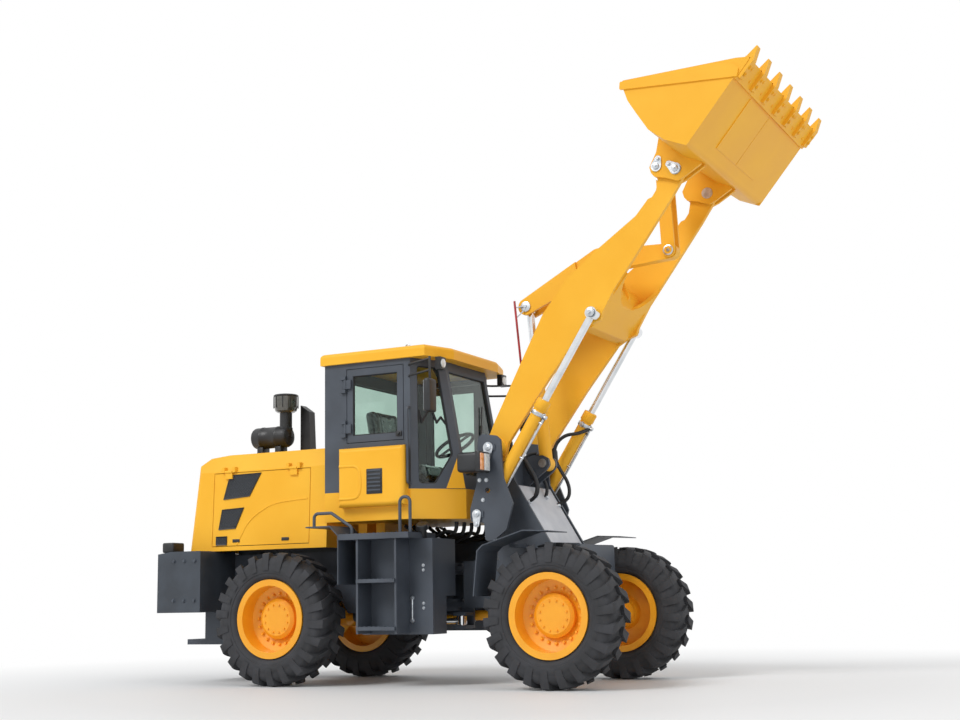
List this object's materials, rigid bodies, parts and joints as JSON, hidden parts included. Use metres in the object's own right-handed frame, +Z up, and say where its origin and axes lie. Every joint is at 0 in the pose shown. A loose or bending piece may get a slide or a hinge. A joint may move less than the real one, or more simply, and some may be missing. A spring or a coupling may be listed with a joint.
{
  "type": "articulated wheel loader",
  "caption": "Compact articulated wheel loader with raised boom, toothed bucket on a Z-bar linkage, glazed cab, hood with air filter, and treaded wheels on beam axles.",
  "frame": {"origin": "centre of the bounding box at rest, on the ground under the wheels", "axes": "+X forward, +Y to the left, +Z up"},
  "size_m": [6.0937, 2.08, 4.9628],
  "materials": {
    "tyre_rubber": "moulded tyre rubber",
    "rim_paint": "orange yellow gloss enamel on pressed steel",
    "tinted_glass": "tinted safety glass",
    "yellow_paint": "warm yellow enamel on welded steel",
    "grey_paint": "slate grey enamel on welded steel",
    "rod_chrome": "hard chrome plated rod",
    "pin_steel": "turned steel pin",
    "tooth_steel": "painted forged steel",
    "grey_casting": "painted iron casting",
    "black_plastic": "moulded black plastic",
    "seat_vinyl": "black vinyl"
  },
  "bodies": {
    "rear_frame": {"air_filter": "black_plastic", "cab_base": "yellow_paint", "cab_frame": "grey_paint", "cab_glass": "tinted_glass", "cab_roof": "yellow_paint", "counterweight": "grey_casting", "engine_block": "grey_casting", "exhaust": "black_plastic", "grab_rails": "grey_paint", "hood": "yellow_paint", "mirrors": "black_plastic", "rear_axle": "grey_paint", "rear_fenders": "grey_paint", "rear_frame": "grey_paint", "rear_grille": "black_plastic", "roof_lamps": "black_plastic", "seat": "seat_vinyl", "side_cover": "yellow_paint", "steering_column": "black_plastic", "steps": "grey_paint", "tanks": "grey_paint", "transmission": "grey_casting"},
    "front_right_wheel": {"front_right_rim": "rim_paint", "front_right_tyre": "tyre_rubber"},
    "front_left_wheel": {"front_left_rim": "rim_paint", "front_left_tyre": "tyre_rubber"},
    "rear_right_wheel": {"rear_right_rim": "rim_paint", "rear_right_tyre": "tyre_rubber"},
    "rear_left_wheel": {"rear_left_rim": "rim_paint", "rear_left_tyre": "tyre_rubber"},
    "boom": {"boom": "yellow_paint"},
    "bucket_pins": {"bucket_pins": "pin_steel"},
    "rocker_pin": {"rocker_pin": "pin_steel"},
    "rocker": {"rocker": "yellow_paint"},
    "link_pin": {"link_pin": "pin_steel"},
    "link": {"link": "yellow_paint"},
    "tilt_pin": {"tilt_pin": "pin_steel"},
    "tilt_barrel": {"tilt_barrel": "yellow_paint"},
    "tilt_rod": {"tilt_rod": "rod_chrome"},
    "lift_barrels": {"lift_barrels": "yellow_paint"},
    "lift_rods": {"lift_rods": "rod_chrome"},
    "steer_barrel_right": {"steer_barrel_right": "yellow_paint"},
    "steer_rod_right": {"steer_rod_right": "rod_chrome"},
    "steer_barrel_left": {"steer_barrel_left": "yellow_paint"},
    "steer_rod_left": {"steer_rod_left": "rod_chrome"},
    "hood_door_right": {"hood_door_right": "yellow_paint"},
    "hood_door_left": {"hood_door_left": "yellow_paint"},
    "bucket": {"bucket": "yellow_paint", "bucket_teeth": "tooth_steel"},
    "right_door": {"right_door": "grey_paint", "right_door_glass": "tinted_glass"},
    "left_door": {"left_door": "grey_paint", "left_door_glass": "tinted_glass"},
    "front_frame": {"front_frame": "grey_paint", "front_axle": "grey_paint", "front_fenders": "grey_paint", "headlamps": "black_plastic"}
  },
  "joints": [
    {"name": "articulation", "type": "hinge", "parent": "rear_frame", "child": "front_frame", "pos_m": [-0.26, 0, 0.84], "axis": [0, 0, 1], "range_deg": [-35, 35]},
    {"name": "wheel_front_right", "type": "hinge", "parent": "front_frame", "child": "front_right_wheel", "pos_m": [1.087, -0.78, 0.585], "axis": [0, 1, 0], "continuous": true},
    {"name": "wheel_front_left", "type": "hinge", "parent": "front_frame", "child": "front_left_wheel", "pos_m": [1.087, 0.78, 0.585], "axis": [0, 1, 0], "continuous": true},
    {"name": "wheel_rear_right", "type": "hinge", "parent": "rear_frame", "child": "rear_right_wheel", "pos_m": [-1.607, -0.78, 0.585], "axis": [0, 1, 0], "continuous": true},
    {"name": "wheel_rear_left", "type": "hinge", "parent": "rear_frame", "child": "rear_left_wheel", "pos_m": [-1.607, 0.78, 0.585], "axis": [0, 1, 0], "continuous": true},
    {"name": "boom_lift", "type": "hinge", "parent": "front_frame", "child": "boom", "pos_m": [0.417, 0, 2.005], "axis": [0, -1, 0], "range_deg": [-91, 0]},
    {"name": "bucket_level", "type": "hinge", "parent": "boom", "child": "bucket_pins", "pos_m": [2.149, 0, 4.245], "axis": [0, -1, 0], "range_deg": [-0.81, 81.8]},
    {"name": "bucket_tilt", "type": "hinge", "parent": "bucket_pins", "child": "bucket", "pos_m": [2.149, 0, 4.245], "axis": [0, 1, 0], "range_deg": [0, 97]},
    {"name": "rocker_level", "type": "hinge", "parent": "boom", "child": "rocker_pin", "pos_m": [1.266, 0, 3.653], "axis": [0, -1, 0], "range_deg": [-29.3, 0.29]},
    {"name": "rocker_swing", "type": "hinge", "parent": "rocker_pin", "child": "rocker", "pos_m": [1.266, 0, 3.653], "axis": [0, -1, 0], "range_deg": [-0.29, 29.76]},
    {"name": "link_level", "type": "hinge", "parent": "bucket", "child": "link_pin", "pos_m": [1.888, 0, 4.341], "axis": [0, -1, 0], "range_deg": [-99.22, 0.98]},
    {"name": "link_swing", "type": "hinge", "parent": "link_pin", "child": "link", "pos_m": [1.888, 0, 4.341], "axis": [0, -1, 0], "range_deg": [-0.53, 53.88]},
    {"name": "tilt_follow", "type": "hinge", "parent": "front_frame", "child": "tilt_pin", "pos_m": [0.685, 0, 1.894], "axis": [0, -1, 0], "range_deg": [-95.34, 0.94]},
    {"name": "tilt_swing", "type": "hinge", "parent": "tilt_pin", "child": "tilt_barrel", "pos_m": [0.685, 0, 1.894], "axis": [0, -1, 0], "range_deg": [-12.08, 0.12]},
    {"name": "tilt_slide", "type": "slide", "parent": "tilt_barrel", "child": "tilt_rod", "axis": [-0.0886, 0, 0.9961], "range_m": [-0.30394, 0.00301]},
    {"name": "lift_follow", "type": "hinge", "parent": "front_frame", "child": "lift_barrels", "pos_m": [0.297, 0, 1.44], "axis": [0, -1, 0], "range_deg": [-76.66, 0.76]},
    {"name": "lift_slide", "type": "slide", "parent": "lift_barrels", "child": "lift_rods", "axis": [0.5459, 0, 0.8379], "range_m": [-0.7199, 0.00713]},
    {"name": "steer_follow_right", "type": "hinge", "parent": "rear_frame", "child": "steer_barrel_right", "pos_m": [-0.88, -0.385, 0.545], "axis": [0, 0, 1], "range_deg": [-6.4, 6.4]},
    {"name": "steer_slide_right", "type": "slide", "parent": "steer_barrel_right", "child": "steer_rod_right", "axis": [0.987, 0.1605, 0], "range_m": [-0.1689, 0.1689]},
    {"name": "steer_follow_left", "type": "hinge", "parent": "rear_frame", "child": "steer_barrel_left", "pos_m": [-0.88, 0.385, 0.545], "axis": [0, 0, 1], "range_deg": [-6.4, 6.4]},
    {"name": "steer_slide_left", "type": "slide", "parent": "steer_barrel_left", "child": "steer_rod_left", "axis": [0.987, -0.1605, 0], "range_m": [-0.1689, 0.1689]},
    {"name": "right_door_swing", "type": "hinge", "parent": "rear_frame", "child": "right_door", "pos_m": [-0.927, -0.768, 2.44], "axis": [0, 0, -1], "range_deg": [0, 90]},
    {"name": "left_door_swing", "type": "hinge", "parent": "rear_frame", "child": "left_door", "pos_m": [-0.927, 0.768, 2.1], "axis": [0, 0, 1], "range_deg": [0, 90]},
    {"name": "hood_door_right_lift", "type": "hinge", "parent": "rear_frame", "child": "hood_door_right", "pos_m": [-1.607, -0.618, 1.945], "axis": [-1, 0, 0], "range_deg": [0, 70]},
    {"name": "hood_door_left_lift", "type": "hinge", "parent": "rear_frame", "child": "hood_door_left", "pos_m": [-1.607, 0.618, 1.945], "axis": [1, 0, 0], "range_deg": [0, 70]}
  ],
  "couplings": [
    {"joint": "bucket_level", "follows": "boom_lift", "ratio": -0.89002},
    {"joint": "rocker_level", "follows": "boom_lift", "ratio": 0.31877},
    {"joint": "rocker_swing", "follows": "bucket_tilt", "ratio": 0.30376},
    {"joint": "link_level", "follows": "boom_lift", "ratio": 1.0795},
    {"joint": "link_swing", "follows": "bucket_tilt", "ratio": 0.54997},
    {"joint": "tilt_follow", "follows": "boom_lift", "ratio": 1.0373},
    {"joint": "tilt_swing", "follows": "bucket_tilt", "ratio": -0.12331},
    {"joint": "tilt_slide", "follows": "bucket_tilt", "m_per_rad": -0.17776},
    {"joint": "lift_follow", "follows": "boom_lift", "ratio": 0.83408},
    {"joint": "lift_slide", "follows": "boom_lift", "m_per_rad": 0.44878},
    {"joint": "steer_follow_right", "follows": "articulation", "ratio": 0.17935},
    {"joint": "steer_slide_right", "follows": "articulation", "m_per_rad": 0.27107},
    {"joint": "steer_follow_left", "follows": "articulation", "ratio": 0.17935},
    {"joint": "steer_slide_left", "follows": "articulation", "m_per_rad": -0.27107}
  ]
}
